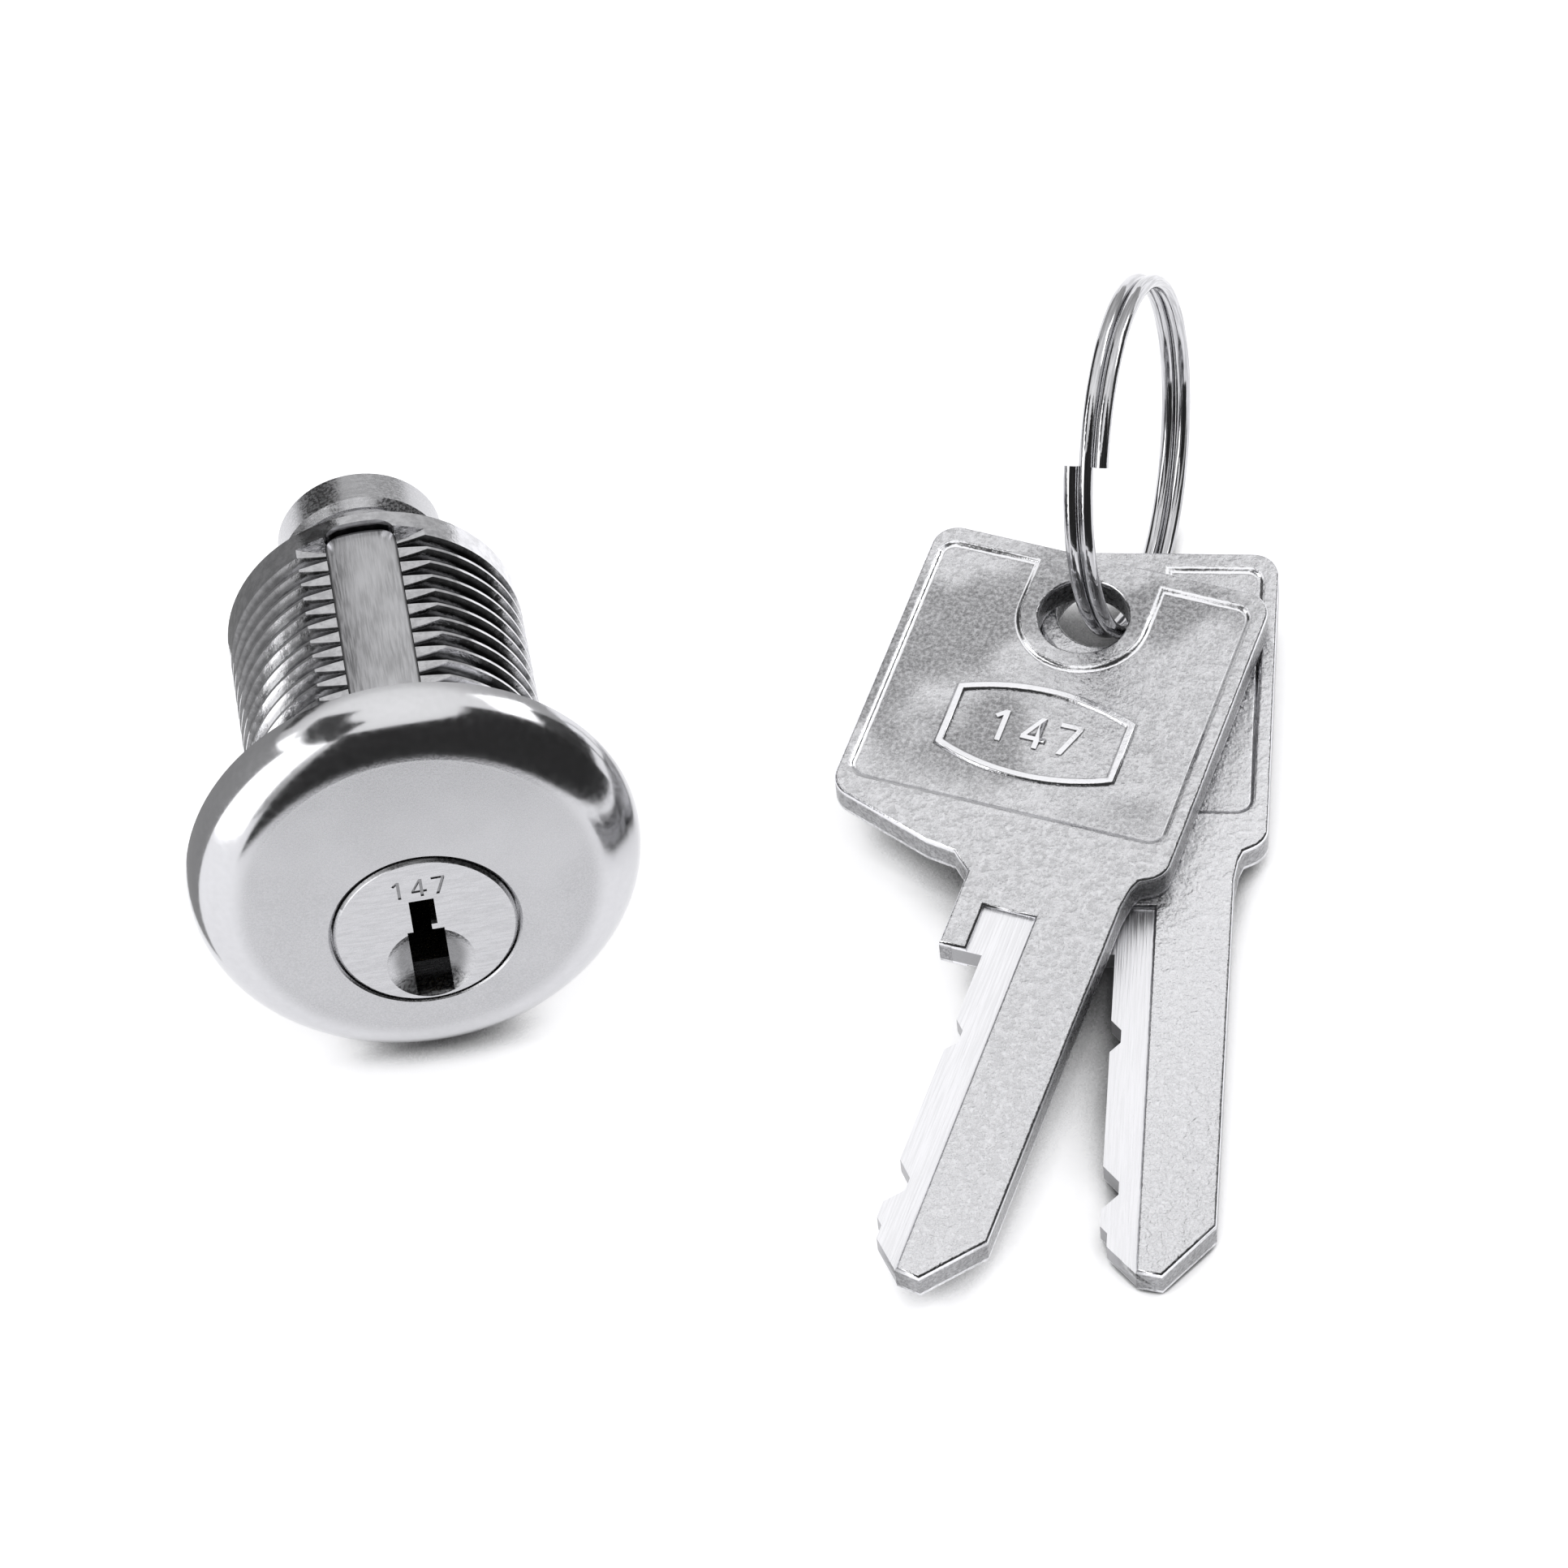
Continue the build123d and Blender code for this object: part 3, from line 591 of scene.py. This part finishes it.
# Sky level by height: 0 is the horizon and below, 1 is straight up.
SKY_STOPS = ((0.0, 0.45), (0.3, 0.55), (0.55, 0.72), (0.75, 1.08), (1.0, 1.2))
world = bpy.data.worlds.new("studio")
bpy.context.scene.world = world
world.use_nodes = True
sky = world.node_tree
sky_place = sky.nodes.new("ShaderNodeTexCoord")
sky_split = sky.nodes.new("ShaderNodeSeparateXYZ")
sky_ramp = sky.nodes.new("ShaderNodeValToRGB")
sky.links.new(sky_place.outputs["Generated"], sky_split.inputs[0])
sky.links.new(sky_split.outputs[2], sky_ramp.inputs[0])
while len(sky_ramp.color_ramp.elements) < len(SKY_STOPS):
    sky_ramp.color_ramp.elements.new(0.5)
for element, (height, level) in zip(sky_ramp.color_ramp.elements, SKY_STOPS):
    element.position = height
    element.color = (level, level, level, 1)
sky.links.new(sky_ramp.outputs[0], sky.nodes["Background"].inputs[0])
sky.nodes["Background"].inputs[1].default_value = 1.0

# ---------------------------------------------------------------- camera
CAMERA_AZIMUTH = radians(4.32)
CAMERA_ELEVATION = radians(50.77)
CAMERA_ROLL = radians(6.27)
CAMERA_DISTANCE = 0.540
camera_aim = Vector((0.002357, 0.01124, 0))
horizontal = cos(CAMERA_ELEVATION)
forward = Vector((sin(CAMERA_AZIMUTH) * horizontal, cos(CAMERA_AZIMUTH) * horizontal,
                  -sin(CAMERA_ELEVATION)))
level_right = Vector((cos(CAMERA_AZIMUTH), -sin(CAMERA_AZIMUTH), 0))
level_up = level_right.cross(forward)
camera_right = level_right * cos(CAMERA_ROLL) - level_up * sin(CAMERA_ROLL)
camera_up = level_up * cos(CAMERA_ROLL) + level_right * sin(CAMERA_ROLL)
camera_turn = Matrix((camera_right, camera_up, -forward)).transposed().to_4x4()
camera = new_object("camera", bpy.data.cameras.new("camera"))
camera.data.lens = 181.6
camera.data.sensor_width = 36
camera.data.clip_start = 0.05
camera.data.clip_end = 10
camera.matrix_world = Matrix.Translation(camera_aim - forward * CAMERA_DISTANCE) @ camera_turn
bpy.context.scene.camera = camera
bpy.context.scene.view_settings.view_transform = "Standard"
